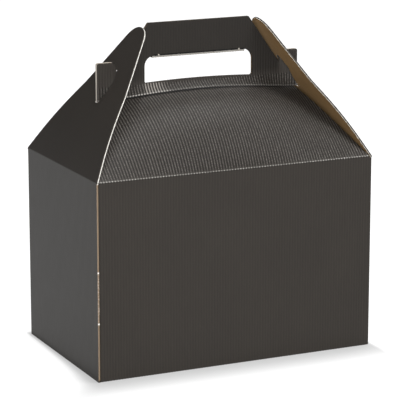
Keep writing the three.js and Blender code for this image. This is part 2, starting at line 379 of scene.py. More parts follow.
KRAFT = (0.38, 0.235, 0.105)
KRAFT_DARK = (0.27, 0.165, 0.07)
KRAFT_ROUGHNESS = 0.86
KRAFT_GLOSS = 0.25
KRAFT_GRAIN = 0.05
KRAFT_FIBRES = {"scale": 420, "detail": 5, "stretch": (1, 1, 0.2)}
KRAFT_CLOUD = {"scale": 30, "detail": 3}
KRAFT_BY_FIBRES, KRAFT_BY_CLOUD, KRAFT_BY_CREST, KRAFT_SPARED = 0.7, 0.5, 0.2, 0.35

PALE_EDGE = (0.68, 0.66, 0.62)
PALE_DARK_AND_MOUTH_SHADE = (0.4, 0.37, 0.32)
KRAFT_EDGE = (0.27, 0.2, 0.135)
DARK_EDGE = (0.045, 0.037, 0.03)
EDGE_DARK_AND_MOUTH_SHADE = (0.03, 0.024, 0.018)
EDGE_MOUTH = (0.6, 0.95)
# How dark the painted shade in the flute mouths is on the edges of the handle, the walls and
# the flaps
HANDLE_MOUTHS, WALL_MOUTHS, FLAP_MOUTHS = 0.5, 0.4, 0.3
EDGE_FIBRES = {"scale": 900, "detail": 4}
EDGE_FIBRE_SHADE = 0.25
EDGE_ROUGHNESS = 0.9
EDGE_GLOSS = 0.2
EDGE_GRAIN = 0.08


# The flutes' direction changes over from wall to wall between these slants of the surface
WALL_CHANGE = (-0.1, 0.1)


def across_flutes(finish, axis):
    """Distance across the flutes: along X, along Y, or whichever runs along a wall."""
    _, (x, y, _) = finish.place()
    if axis == "X":
        return x
    if axis == "Y":
        return y
    nx, ny, _ = finish.facing()
    on_end_wall = (abs(nx) - abs(ny)).above(*WALL_CHANGE)
    return x + (y - x) * on_end_wall


def crests(finish, axis):
    """1 on the crest of every flute and 0 between them."""
    return (across_flutes(finish, axis) * (2 * math.pi / FLUTE)).cosine() * 0.5 + 0.5


def stroke(distance, core, edge):
    """A line that is whole within core of its middle and gone at edge."""
    return abs(distance).below(core, edge)


def brittle(crest, speck):
    """How readily the film cracks."""
    return crest * CRACK_CREST + speck * CRACK_SPECK


EAVE_LINE_UP = 0.15
EAVE_LINE = (0.1, 0.55)
EAVE_CRACKS = (0.75, 1.05)
EAVE_SHADOWS_DOWN = 0.6
EAVE_SHADOWS = (0.15, 0.5)
EAVE_SHADOW_ENDS = (0.2, 0.6)
EAVE_LINE_SHARE, EAVE_CRACK_SHARE, EAVE_SHADOW_SHARE = 0.45, 0.7, 0.6


def eave_marks(finish, crest, speck):
    """The film is cracked pale along the eave crease, with painted rib shadows below it."""
    _, (_, _, z) = finish.place()
    line = stroke(z - EAVE - EAVE_LINE_UP, *EAVE_LINE)
    cracked = line * brittle(crest, speck).above(*EAVE_CRACKS)
    # Painted shadows of the flutes just below the crease
    rib_shadows = stroke(z - EAVE + EAVE_SHADOWS_DOWN, *EAVE_SHADOWS) * crest.below(*EAVE_SHADOW_ENDS)
    return [
        (line * EAVE_LINE_SHARE, CRACK_FAINT),
        (cracked * EAVE_CRACK_SHARE, CRACK_PALE),
        (rib_shadows * EAVE_SHADOW_SHARE, FILM_PAINTED_SHADE),
    ]


RIDGE_LINE_UP = 0.5
RIDGE_LINE = (0.15, 0.6)
RIDGE_SHADE_DOWN = 0.35
RIDGE_SHADE = (0.2, 0.5)
RIDGE_SHADE_FADE = (-5, 60)
RIDGE_SHADE_LEFT, RIDGE_SHADE_RIGHT = 0.5, 0.4
RIDGE_CRACKS = (0.8, 1.1)
RIDGE_LINE_SHARE, RIDGE_LINE_LEFT = 0.25, 0.3
RIDGE_CRACK_SHARE, RIDGE_CRACK_LEFT = 0.25, 0.45
# Towards its left end the crease is cracked more, and the strip over it has a painted highlight
# on its crests
LEFT_END = (-30, -20)
LEFT_END_CRACKS = 0.2
STRIP_FROM = (0.3, 1.2)
STRIP_UP_TO = (-0.3, 0.2)
STRIP_LEFT = (-43, -41)
STRIP_RIGHT = (-34, -22)
STRIP_CRESTS = (0.35, 0.75)
STRIP_HIGHLIGHT = (0.26, 0.24, 0.22)
STRIP_HIGHLIGHT_SHARE = 0.75


def ridge_marks(finish, crest, speck):
    """Pale cracks along the bowed ridge crease over a painted shadow line, and a painted
    highlight on the crests at the strip's left end.
    """
    _, (x, _, z) = finish.place()
    bow = (1 - x * x / HOOK_OUTER ** 2).positive() ** RIDGE_BOW_EASE
    above_ridge = z - bow * RIDGE_BOW_UP - RIDGE
    left_end = x.below(*LEFT_END)
    line = stroke(above_ridge - RIDGE_LINE_UP, *RIDGE_LINE)
    # A painted shadow line just under the crease
    shade = stroke(above_ridge + RIDGE_SHADE_DOWN, *RIDGE_SHADE)
    shade *= x.below(*RIDGE_SHADE_FADE) * RIDGE_SHADE_LEFT + RIDGE_SHADE_RIGHT
    cracked = line * (brittle(crest, speck) + left_end * LEFT_END_CRACKS).above(*RIDGE_CRACKS)
    low, high = STRIP_UP_TO
    strip = above_ridge.above(*STRIP_FROM) * z.below(HOLE_BOTTOM + low, HOLE_BOTTOM + high)
    # Painted highlight on the strip's crests near its left end
    strip_highlight = strip * x.above(*STRIP_LEFT) * x.below(*STRIP_RIGHT) * crest.above(*STRIP_CRESTS)
    return [
        (shade, FILM_PAINTED_SHADOW),
        (line * (left_end * RIDGE_LINE_LEFT + RIDGE_LINE_SHARE), CRACK_FAINT),
        (cracked * (left_end * RIDGE_CRACK_LEFT + RIDGE_CRACK_SHARE), CRACK_PALE),
        (strip_highlight * STRIP_HIGHLIGHT_SHARE, STRIP_HIGHLIGHT),
    ]


HANDLE_FROM = (-2, 5)
HANDLE_ENDS = (60, 63)
HANDLE_SHADE_SHARE = 0.45


def handle_shade(finish, crest, speck):
    """Painted shade: the film is darker on the handle panels than on the roof."""
    _, (x, _, z) = finish.place()
    low, high = HANDLE_FROM
    handle = z.above(HOLE_BOTTOM + low, HOLE_BOTTOM + high) * abs(x).below(*HANDLE_ENDS)
    return [(handle * HANDLE_SHADE_SHARE, FILM_PAINTED_SHADE)]


ROOF_FADE = 2
ROOF_TOP_FADE = 1
ROOF_CRESTS = (0.5, 0.95)
ROOF_SPECKS = (0.4, 0.65)
ROOF_VALLEYS = (0.3, 0.75)
ROOF_VALLEY_SPECK, ROOF_VALLEY_SPARED = 1.2, 0.05
ROOF_SHEEN_SHARE = 0.65
ROOF_VALLEY_SHADE = (0.004, 0.0035, 0.003)
ROOF_CREST_SHEEN = (0.14, 0.13, 0.12)


def roof_shade_and_sheen(finish, crest, speck):
    """On the roof and the strip: painted shade between the flutes and a speckled painted sheen
    on them.
    """
    _, (_, _, z) = finish.place()
    roof = z.above(EAVE, EAVE + ROOF_FADE) * z.below(HOLE_BOTTOM - ROOF_TOP_FADE, HOLE_BOTTOM)
    wear_and_sheen = crest.above(*ROOF_CRESTS) * speck.above(*ROOF_SPECKS)
    # Painted shade in the flute valleys and painted sheen on the crests, for a stronger flute
    # relief
    dark = roof * crest.below(*ROOF_VALLEYS) * (speck * ROOF_VALLEY_SPECK - ROOF_VALLEY_SPARED)
    return [(dark, ROOF_VALLEY_SHADE), (roof * wear_and_sheen * ROOF_SHEEN_SHARE, ROOF_CREST_SHEEN)]


FOLD_LINE = (-0.3, -0.1)
FOLD_HIGHLIGHT = (0.36, 0.34, 0.31)
FOLD_SPECK, FOLD_SHARE = 0.4, 0.7


def fold_light_and_shadow(finish, crest, speck):
    """Painted highlight round the fold of the tongue, under a painted shadow line."""
    _, (_, _, z) = finish.place()
    low, high = HOLE_TOP + FOLD_LINE[0], HOLE_TOP + FOLD_LINE[1]
    # The fold is painted light as a highlight and the recessed top of the tongue dark as shadow
    return [
        (z.below(low, high) * (speck * FOLD_SPECK + FOLD_SHARE), FOLD_HIGHLIGHT),
        (z.above(low, high), FILM_PAINTED_SHADOW),
    ]


LIP_FROM = (-1, -0.5)
LIP_UP_TO = (0.7, 1)
LIP_END_FADE = 1
LIP_NICKS_AT = 30.5
LIP_NICK = (0.3, 0.7)
LIP_NICK_PALE = (0.5, 0.46, 0.4)


def lip_marks(finish, crest, speck):
    """Above the tongue the hole's edge has a painted shadow line, with a pale nick near each
    end.
    """
    _, (x, _, z) = finish.place()
    low, high = HOLE_TOP + LIP_FROM[0], HOLE_TOP + LIP_FROM[1]
    line = z.above(low, high) * z.below(HOLE_TOP + LIP_UP_TO[0], HOLE_TOP + LIP_UP_TO[1])
    half = TONGUE_LENGTH / 2
    # Painted shadow along the hole's top edge
    lip_shadow = line * abs(x).below(half - LIP_END_FADE, half)
    nicks = line * stroke(abs(x) - LIP_NICKS_AT, *LIP_NICK)
    return [(lip_shadow, FILM_PAINTED_SHADOW), (nicks, LIP_NICK_PALE)]


def painted(finish, colour, marks, *looks):
    """The colour with every mark laid over it in turn."""
    for mark in marks:
        for share, paint in mark(finish, *looks):
            colour = finish.blend(share, colour, paint)
    return colour


def black_film(name, axis, marks=()):
    """Satin black film over the fluted board, paler on the flute crests as a painted sheen, and
    worn paler along fibres and a slow cloud.
    """
    finish = Finish(name)
    coordinates, _ = finish.place()
    crest = crests(finish, axis)
    fibres = finish.noise(coordinates, **FILM_FIBRES)
    cloud = finish.noise(coordinates, **FILM_CLOUD)
    speck = finish.noise(coordinates, **FILM_SPECK)
    # The crests are painted paler as a sheen; the fibres and the slow cloud are wear
    wear_and_sheen = crest * CREST_SHEEN + fibres * WEAR_FIBRES + cloud * WEAR_CLOUD - WEAR_SPARED
    colour = finish.blend(wear_and_sheen, FILM, FILM_WORN_AND_SHEEN)
    return finish.finish(
        Base_Color=painted(finish, colour, marks, crest, speck),
        Roughness=FILM_ROUGHNESS + fibres * FILM_ROUGH_FIBRES - crest * FILM_SMOOTH_CRESTS,
        Normal=finish.bump(fibres * GRAIN_FIBRES + speck * GRAIN_SPECK, FILM_GRAIN),
        Specular_IOR_Level=FILM_GLOSS,
    )


def kraft_liner(name, axis):
    """Uncoated brown liner with long fibres and faint flute shadows."""
    finish = Finish(name)
    coordinates, _ = finish.place()
    crest = crests(finish, axis)
    fibres = finish.noise(coordinates, **KRAFT_FIBRES)
    cloud = finish.noise(coordinates, **KRAFT_CLOUD)
    pale = fibres * KRAFT_BY_FIBRES + cloud * KRAFT_BY_CLOUD + crest * KRAFT_BY_CREST
    return finish.finish(
        Base_Color=finish.blend(pale - KRAFT_SPARED, KRAFT_DARK, KRAFT),
        Roughness=KRAFT_ROUGHNESS,
        Normal=finish.bump(fibres, KRAFT_GRAIN),
        Specular_IOR_Level=KRAFT_GLOSS,
    )


def cut_edge(name, paper, dark_and_mouth_shade, axis, mouths, marks=()):
    """A cut edge: paper with painted shade in the mouths of the flutes, and darker fibres."""
    finish = Finish(name)
    coordinates, _ = finish.place()
    # Painted shade in the flute mouths
    mouth = crests(finish, axis).above(*EDGE_MOUTH)
    fibres = finish.noise(coordinates, **EDGE_FIBRES)
    colour = finish.blend(mouth * mouths, paper, dark_and_mouth_shade)
    colour = finish.blend(fibres * EDGE_FIBRE_SHADE, colour, dark_and_mouth_shade)
    return finish.finish(
        Base_Color=painted(finish, colour, marks, fibres),
        Roughness=EDGE_ROUGHNESS,
        Normal=finish.bump(fibres, EDGE_GRAIN),
        Specular_IOR_Level=EDGE_GLOSS,
    )


SEAM_NICKS = (40.5, 75.5)
SEAM_NICK = (0.3, 0.8)
SEAM_NICK_PALE = (0.85, 0.81, 0.76)
SEAM_FADE = 2
SEAM_FIBRES = (0.45, 0.6)
SEAM_ROUGH_SHARE = 0.45
SEAM_ROUGH = (0.6, 0.52, 0.45)
SEAM_FOOT = (0.5, 2.5)
SEAM_FOOT_DARK = (0.04, 0.033, 0.025)


def seam_marks(finish, fibres):
    """Two pale nicks on the seam edge, with rougher paper between them, and a dark foot."""
    _, (_, _, z) = finish.place()
    low, high = SEAM_NICKS
    inside = z.above(low, low + SEAM_FADE) * z.below(high - SEAM_FADE, high)
    rough = inside * fibres.above(*SEAM_FIBRES)
    nicks = stroke(z - low, *SEAM_NICK) + stroke(z - high, *SEAM_NICK)
    return [
        (rough * SEAM_ROUGH_SHARE, SEAM_ROUGH),
        (nicks, SEAM_NICK_PALE),
        (z.below(*SEAM_FOOT), SEAM_FOOT_DARK),
    ]


FILM_LAP = {-1: 0.5, 1: 0.95}
FILM_LAP_FADE = 0.15
BOW_END_FADE = 1


def lapped_edge(side):
    """On a gable flap's cut edge the black film is drawn down over the outer part."""
    def marks(finish, fibres):
        _, (x, _, z) = finish.place()
        inwards = HALF_LENGTH - abs(x)
        upwards = z - EAVE
        along = inwards * math.sin(LEAN) + upwards * math.cos(LEAN)
        inset = inwards * math.cos(LEAN) - upwards * math.sin(LEAN)
        bowed = (along * (math.pi / FLAP_BOW_LENGTH)).sine().positive() * FLAP_BOW[side]
        bow = bowed * along.below(FLAP_BOW_LENGTH - BOW_END_FADE, FLAP_BOW_LENGTH)
        sprung = along * (FLAP_SPRING[side] / FLAP_LENGTH)
        lap = FILM_LAP[side]
        return [((inset + bow + sprung).below(lap, lap + FILM_LAP_FADE), FILM_WORN_AND_SHEEN)]

    return marks


HOOK_FADE = 3
HOOK_FOOT = (-1.5, -1)
HOOK_HEAD = (0.5, 1)
HOOK_SIDE_FADE = 0.5
HOOK_PALE = (0.4, 0.36, 0.31)
HOOK_SIDE_HIGHLIGHT = (0.82, 0.75, 0.67)


def hook_marks(finish, fibres):
    """The hooks' own edges are cut clean and pale, and the upright ones are palest: pale paper
    with a painted highlight on it.
    """
    _, (x, _, z) = finish.place()
    level = z.above(RIDGE + HOOK_FOOT[0], RIDGE + HOOK_FOOT[1])
    level *= z.below(HOOK_TOP + HOOK_HEAD[0], HOOK_TOP + HOOK_HEAD[1])
    hook = abs(x).above(-CROWN_END - HOOK_FADE, -CROWN_END) * level
    side_top = HOOK_TOP - HOOK_CORNER
    # Painted highlight on the upright edges
    upright = hook * z.below(side_top, side_top + HOOK_SIDE_FADE)
    return [(hook, HOOK_PALE), (upright, HOOK_SIDE_HIGHLIGHT)]


def board_finishes(label, axis, edge, marks=()):
    return [
        black_film(f"black_film_{label}", axis, marks),
        kraft_liner(f"kraft_liner_{label}", axis),
        edge,
    ]


# Making boards

def mid(a, b, share):
    return a + (b - a) * share


def even(start, end, count):
    return [mid(start, end, i / count) for i in range(count + 1)]


def fluted(start, end):
    """Places across the flutes, with the same steps on every flute."""
    step = FLUTE / STEPS_PER_FLUTE
    low, high = min(start, end), max(start, end)
    first = math.floor(low / step) + 1
    last = math.ceil(high / step) - 1
    steps = [k * step for k in range(first, last + 1)]
    inside = [value for value in steps if low + LEAST_STEP < value < high - LEAST_STEP]
    places = [low, *inside, high]
    return places if start < end else places[::-1]


def flute_dip(across):
    """How far the board's face lies under the crests of its flutes."""
    return -FLUTE_DEPTH * (0.5 - 0.5 * math.cos(2 * math.pi * across / FLUTE))


def show(name, bm, finishes):
    """The mesh as an object of the scene."""
    mesh = bpy.data.meshes.new(name)
    bm.to_mesh(mesh)
    bm.free()
    piece = bpy.data.objects.new(name, mesh)
    bpy.context.scene.collection.objects.link(piece)
    for material in finishes:
        mesh.materials.append(material)
    return piece


def settled(piece):
    """The piece with its modifiers applied."""
    bpy.context.view_layer.update()
    graph = bpy.context.evaluated_depsgraph_get()
    mesh = bpy.data.meshes.new_from_object(piece.evaluated_get(graph))
    piece.modifiers.clear()
    piece.data = mesh
    return piece


def board(
    name, columns, rows, place, finishes, thickness=BOARD, flute_of=None, depth_of=None
):
    """A board of the given thickness, bent from a flat grid; place gives its outer face."""
    bm = bmesh.new()
    across, along = len(columns) - 1, len(rows) - 1
    bmesh.ops.create_grid(bm, x_segments=across, y_segments=along, size=1)
    dips = {}
    for vertex in bm.verts:
        i = round((vertex.co.x + 1) / 2 * across)
        j = round((vertex.co.y + 1) / 2 * along)
        vertex.co = place(columns[i], rows[j])
        across_board = flute_of(columns[i]) if flute_of else columns[i]
        depth = depth_of(columns[i], rows[j]) if depth_of else 1
        if across_board is not None:
            dips[vertex.index] = depth * flute_dip(across_board)
    bm.normal_update()
    for vertex in bm.verts:
        vertex.co += vertex.normal * dips.get(vertex.index, 0)
    bmesh.ops.scale(bm, vec=(MM, MM, MM), verts=bm.verts)
    piece = show(name, bm, finishes)
    wall = piece.modifiers.new("thickness", "SOLIDIFY")
    wall.thickness = thickness * MM
    wall.offset = -1
    wall.material_offset = 1
    wall.material_offset_rim = 2
    return settled(piece)


def cutter(outline, place, finishes):
    """A prism on an outline, between the two depths that place takes."""
    bm = bmesh.new()
    near = [bm.verts.new(place(a, b, 0)) for a, b in outline]
    face = bm.faces.new(near)
    grown = bmesh.ops.extrude_face_region(bm, geom=[face])
    moved = [item for item in grown["geom"] if isinstance(item, bmesh.types.BMVert)]
    shift = place(*outline[0], 1) - place(*outline[0], 0)
    bmesh.ops.translate(bm, vec=shift, verts=moved)
    bmesh.ops.recalc_face_normals(bm, faces=bm.faces)
    bmesh.ops.scale(bm, vec=(MM, MM, MM), verts=bm.verts)
    for wall in bm.faces:
        wall.material_index = 2
    return show("cutter", bm, finishes)


def die_cut(piece, outline, place, operation):
    """Cut the outline out of the piece, or keep only what lies inside it."""
    tool = cutter(outline, place, piece.data.materials)
    cut = piece.modifiers.new("cut", "BOOLEAN")
    cut.operation = operation
    cut.solver = "MANIFOLD"
    cut.object = tool
    settled(piece)
    bpy.data.objects.remove(tool)
    return piece


def shade_smooth(piece, crisp):
    for face in piece.data.polygons:
        face.use_smooth = True
    piece.data.set_sharp_from_angle(angle=crisp)


def smoothed(piece, body):
    """Smooth shading with crisp cut edges, and the body that carries the piece."""
    shade_smooth(piece, CRISP_EDGE)
    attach(piece, body)
    return piece


def arc(centre, radius, start, end, steps=BEND_STEPS):
    """Points of an arc between two angles in degrees."""
    turns = [math.radians(angle) for angle in even(start, end, steps)]
    x, y = centre
    return [(x + radius * math.cos(turn), y + radius * math.sin(turn)) for turn in turns]


def curve(start, bend, end, steps=BEND_STEPS):
    """Points of a quadratic curve."""
    def point(t):
        weights = ((1 - t) ** 2, 2 * t * (1 - t), t * t)
        return tuple(
            sum(weight * knot[k] for weight, knot in zip(weights, (start, bend, end)))
            for k in (0, 1)
        )

    return [point(t) for t in even(0, 1, steps)]


# Forms of the roof and the flaps

def flap_bow(along, side):
    """How far the outer face of a flap stands out from its flat place."""
    bow = 0.0
    if along < FLAP_BOW_LENGTH:
        bow = FLAP_BOW[side] * math.sin(math.pi * along / FLAP_BOW_LENGTH)
    return bow + FLAP_SPRING[side] * along / FLAP_LENGTH


def leaning(along, inset):
    """Front view of a place beside the flat left flap, set in from its outer face."""
    return (
        -HALF_LENGTH + along * math.sin(LEAN) + inset * math.cos(LEAN),
        EAVE + along * math.cos(LEAN) - inset * math.sin(LEAN),
    )


def from_flap_crease(x, z):
    """Distance of a place in the front view from the left flap's crease."""
    return math.hypot(x + HALF_LENGTH, z - EAVE)


NECK = leaning(NECK_ALONG, BOARD + JOINT_GAP)
HOOK_OUTER = NECK[0] - HOOK_REACH
HOOK_TOP = NECK[1] + HOOK_RISE
CROWN_END = HOOK_OUTER + HOOK_CROWN


def ridge_bow(x):
    """Share of the ridge crease's bow, from 1 in the middle to 0 at the hooks."""
    return max(0.0, 1 - (x / HOOK_OUTER) ** 2) ** RIDGE_BOW_EASE


def roof_point(x, share):
    """Outer face of the front roof panel, a share of the way up from the eave."""
    bow = ridge_bow(x)
    foot = Vector((-HALF_WIDTH, EAVE))
    chord = Vector((-HANDLE_FACE - RIDGE_BOW_OUT * bow, RIDGE + RIDGE_BOW_UP * bow)) - foot
    outwards = Vector((-chord.y, chord.x)).normalized()
    middle = 1 - (x / HALF_LENGTH) ** 2
    bulge = mid(BULGE_EDGE, BULGE_MIDDLE, middle) * 4 * share * (1 - share)
    point = foot + chord * share + outwards * bulge
    return Vector((x, point.x, point.y))


def strip_point(x, share):
    """Outer face of the strip between the ridge crease and the hand hole."""
    bow = ridge_bow(x)
    y = -HANDLE_FACE - RIDGE_BOW_OUT * bow * (1 - share) ** RIDGE_BOW_EASE
    z = mid(RIDGE + RIDGE_BOW_UP * bow, HOLE_BOTTOM, share)
    return Vector((x, y, z))


def half_outline():
    """Left half of the front view of roof, hook and handle, from the eave up."""
    foot = leaning(JOIN, BOARD + JOINT_GAP)
    points = [
        (-HALF_LENGTH + BOARD + 2 * JOINT_GAP, EAVE - 2 * JOIN),
        foot,
        (foot[0] + (RIDGE - foot[1]) * math.tan(LEAN), RIDGE),
        (HOOK_OUTER, RIDGE),
    ]
    corner = (HOOK_OUTER + HOOK_CORNER, HOOK_TOP - HOOK_CORNER)
    points += arc(corner, HOOK_CORNER, 180, 90)
    inwards, down = [share * HOOK_RISE for share in CROWN_BEND]
    points += curve((CROWN_END, HOOK_TOP), (CROWN_END + inwards, HOOK_TOP - down), NECK)
    points.append((-HANDLE_TOP_LENGTH / 2, HANDLE_TOP))
    return points


def hole_outline():
    """Outline of the hand hole, with its lower edge bowed up."""
    half = HOLE_LENGTH / 2
    low, high = HOLE_BOTTOM, HOLE_TOP
    small, large = HOLE_BOTTOM_RADIUS, HOLE_TOP_RADIUS
    bow = (0, low + 2 * HOLE_BOTTOM_BOW)
    bottom = curve((-half + small, low), bow, (half - small, low), HOLE_BOTTOM_STEPS)
    return [
        *arc((half - small, low + small), small, -90, 0),
        *arc((half - large, high - large), large, 0, 90),
        *arc((-half + large, high - large), large, 90, 180),
        *arc((-half + small, low + small), small, 180, 270),
        *bottom[1:-1],
    ]


def front_view(a, b, depth):
    """A place in the front view, from before the box to its back wall."""
    return Vector((a, mid(-2 * HALF_WIDTH, HALF_WIDTH, depth), b))


def roof_and_handle(name, faces_back, finishes):
    """One roof panel with its strip, handle panel and hooks."""
    rows = [("wall", EAVE - JOIN), ("wall", EAVE - JOIN / 2)]
    rows += [("roof", share) for share in ROOF_FOOT_ROWS]
    rows += [("roof", share) for share in even(ROOF_FIRST_ROW, ROOF_LAST_ROW, ROOF_ROWS)]
    rows += [("crease", 0)]
    rows += [("strip", share) for share in even(ROOF_FIRST_ROW, 1, STRIP_ROWS)]
    rows += [("handle", z) for z in even(HOLE_BOTTOM, HANDLE_TOP, HANDLE_ROWS)[1:]]

    def place(x, row):
        kind, value = row
        if kind == "wall":
            return Vector((x, -HALF_WIDTH, value))
        if kind == "roof":
            return roof_point(x, value)
        if kind == "crease":
            return roof_point(x, 1) + Vector((0, CREASE_DEPTH, -CREASE_DEPTH))
        if kind == "strip":
            return strip_point(x, value)
        return Vector((x, -HANDLE_FACE, value))

    piece = board(
        name, fluted(-HALF_LENGTH, HALF_LENGTH), rows, place, finishes,
        depth_of=lambda x, row: ROOF_FLUTES if row[0] in ("roof", "strip") else 1,
    )
    left = half_outline()
    outline = left + [(-x, z) for x, z in reversed(left)]
    die_cut(piece, outline, front_view, "INTERSECT")
    die_cut(piece, hole_outline(), front_view, "DIFFERENCE")
    if faces_back:
        piece.data.transform(Matrix.Rotation(math.pi, 4, "Z"))
    return smoothed(piece, "carton")


def tongue(finishes):
    """The tongue of the front hand hole, folded back through both holes."""
    front = -HANDLE_FACE + TONGUE_FRONT_SETBACK
    back = HANDLE_FACE + PLY_GAP + BOARD
    foot = HOLE_TOP - PLY_GAP - BOARD
    bend = TONGUE_BEND
    path = [(front, HOLE_TOP + BOARD), (front, foot + bend)]
    path += curve((front, foot + bend), (front, foot), (front + bend, foot))[1:]
    path += curve((back - bend, foot), (back, foot), (back, foot + bend))
    path += [(back, z) for z in even(foot + bend, foot + TONGUE_HEIGHT, TONGUE_ROWS)[1:]]
    half = TONGUE_LENGTH / 2
    piece = board(
        "handle_tongue", fluted(half, -half), path,
        lambda x, point: Vector((x, *point)), finishes, BOARD - TONGUE_THINNING,
    )
    top = foot + TONGUE_HEIGHT
    outline = [
        (-half, foot - BOARD), (half, foot - BOARD),
        *arc((half - TONGUE_CORNER, top - TONGUE_CORNER), TONGUE_CORNER, 0, 90),
        *arc((-half + TONGUE_CORNER, top - TONGUE_CORNER), TONGUE_CORNER, 90, 180),
    ]
    die_cut(piece, outline, front_view, "INTERSECT")
    return smoothed(piece, "carton")


def walls(finishes):
    """The four walls and the glue flap, bent round from one strip."""
    x, y, r = HALF_LENGTH, HALF_WIDTH, CORNER_RADIUS
    inner = -x + BOARD + PLY_GAP
    columns = []

    def straight(start, end, along_x):
        k = 0 if along_x else 1
        for value in fluted(start[k], end[k]):
            point = (value, start[1]) if along_x else (start[0], value)
            columns.append((point, value))

    def bend(centre, start):
        columns.extend((point, None) for point in arc(centre, r, start, start + 90)[1:-1])

    straight((inner, -y + GLUE_FLAP_WIDTH), (inner, -y + r), False)
    bend((inner + r, -y + r), 180)
    straight((inner + r, -y), (x - r, -y), True)
    bend((x - r, -y + r), 270)
    straight((x, -y + r), (x, y - r), False)
    bend((x - r, y - r), 0)
    straight((x - r, y), (-x + r, y), True)
    bend((-x + r, y - r), 90)
    straight((-x, y - r), (-x, -y), False)

    def place(column, share):
        point = column[0]
        on_end = abs(point[0]) == x
        low, high = (END_FOOT if on_end else r), EAVE - JOIN
        if point[0] == inner:
            trim = GLUE_FLAP_TRIM * (GLUE_FLAP_FREE_TRIM + (point[1] + y) / GLUE_FLAP_WIDTH)
            low += trim
            high -= trim
        return Vector((*point, mid(low, high, share)))

    piece = board(
        "walls", columns, even(0, 1, WALL_ROWS), place, finishes,
        flute_of=lambda column: column[1],
        depth_of=lambda column, share: END_FLUTES if abs(column[0][0]) == x else 1,
    )
    return smoothed(piece, "carton")


def turned(piece, name):
    """A copy of a finished piece on the other side of the box."""
    mesh = piece.data.copy()
    mesh.transform(Matrix.Rotation(math.pi, 4, "Z"))
    copy = bpy.data.objects.new(name, mesh)
    bpy.context.scene.collection.objects.link(copy)
    return smoothed(copy, "carton")


def long_floor_flap(finishes):
    """Floor flap of the front wall. Its outer parts are cut back from the middle line."""
    half = HALF_LENGTH - FLOOR_SIDE_GAP
    r = CORNER_RADIUS
    path = curve((-HALF_WIDTH, r), (-HALF_WIDTH, 0), (-HALF_WIDTH + r, 0))
    path += [(y, 0) for y in even(-HALF_WIDTH + r, -FLOOR_MEETING, FLOOR_ROWS)[1:]]

    def place(x, point):
        y, z = point
        outer = max(0.0, abs(x) - TAB_END - TAB_RAMP) / (half - TAB_END - TAB_RAMP)
        inwards = max(0.0, y + HALF_WIDTH - r) / (HALF_WIDTH - r)
        return Vector((x, y - FLOOR_CUT_BACK * outer * inwards, z))

    # The rows run down and inwards, so the columns run backwards to face outwards
    return board("front_floor_flap", fluted(half, -half), path, place, finishes)


def lock_tab(finishes):
    """Locking tab of the front floor flap, which lies on the back one."""
    upper = BOARD + PLY_GAP
    path = [(-2 * TAB_RAMP, TAB_LIFT), (-TAB_RAMP, TAB_LIFT)]
    path += [(0, upper), (TAB_REACH / 2, upper), (TAB_REACH, upper)]

    def place(x, point):
        y, z = point
        middle = (TAB_START + TAB_END) / 2
        corner = max(0.0, abs(x - middle) - (TAB_END - TAB_START) / 2 + TAB_RAMP)
        return Vector((x, y - corner if y == TAB_REACH else y, z))

    return board("front_lock_tab", fluted(TAB_END, TAB_START), path, place, finishes)


def end_floor_flap(finishes):
    """Floor flap of the left wall, lying on the long flaps."""
    r = CORNER_RADIUS
    level = BOARD + PLY_GAP
    x = -HALF_LENGTH
    path = [(x, FLOOR_JOIN), (x, level + r)]
    path += curve((x, level + r), (x, level), (x + r, level))[1:]
    path += [(value, level) for value in even(x + r, x + MINOR_REACH, FLOOR_ROWS)[1:]]
    half = HALF_WIDTH - MINOR_SIDE_GAP

    def place(y, point):
        inwards = max(0.0, point[0] - x - r) / (MINOR_REACH - r)
        return Vector((point[0], y / half * (half - MINOR_TAPER * inwards), point[1]))

    return board("left_floor_flap", fluted(-half, half), path, place, finishes)


def flap_outline():
    """Outline of a gable flap: X across, Y away from its crease."""
    tip = FLAP_LENGTH - FLAP_TIP_RADIUS
    half = HALF_WIDTH - CREASE_STRIP * math.tan(FLAP_TAPER)
    turn = 90 - math.degrees(FLAP_TAPER)
    return [
        (-half, CREASE_STRIP), (half, CREASE_STRIP),
        *arc((0, tip), FLAP_TIP_RADIUS, 90 - turn, 90 + turn, FLAP_TIP_STEPS),
    ]


def slot_outline(side):
    """Outline of the kite slot, from under the hooks to above their necks."""
    top = from_flap_crease(*NECK) + SLOT_TOP_ROOM[side]
    bottom = from_flap_crease(HOOK_OUTER, RIDGE) - SLOT_CLEARANCE
    shoulder = top - (top - bottom) * SLOT_SHOULDER
    top_half = SLOT_TOP_HALF[side]
    return [
        (-SLOT_BOTTOM_HALF, bottom), (SLOT_BOTTOM_HALF, bottom), (SLOT_HALF, shoulder),
        (top_half, top), (-top_half, top), (-SLOT_HALF, shoulder),
    ]


def side_view(a, b, depth):
    """A place on the upright flap, from outside the board to inside it."""
    return Vector((mid(-CUTTER_REACH, CUTTER_REACH, depth) * BOARD, a, b))


def hang(side):
    """From the upright flap to its place, leaning in from its crease."""
    turn = Matrix.Rotation(0 if side < 0 else math.pi, 4, "Z")
    place = Matrix.Translation((-HALF_LENGTH * MM, 0, EAVE * MM))
    return turn @ place @ Matrix.Rotation(LEAN, 4, "Y")


def gable_flap(name, body, node, side, finishes):
    """A gable flap with its slot, from just above its crease."""
    rows = even(CREASE_STRIP, FLAP_LENGTH, FLAP_ROWS)

    def place(y, along):
        return Vector((-flap_bow(along, side), y, along))

    piece = board(
        name, fluted(HALF_WIDTH, -HALF_WIDTH), rows, place, finishes,
        depth_of=lambda y, along: END_FLUTES,
    )
    die_cut(piece, flap_outline(), side_view, "INTERSECT")
    die_cut(piece, slot_outline(side), side_view, "DIFFERENCE")
    piece.data.transform(hang(side))
    smoothed(piece, body)
    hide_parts(node)


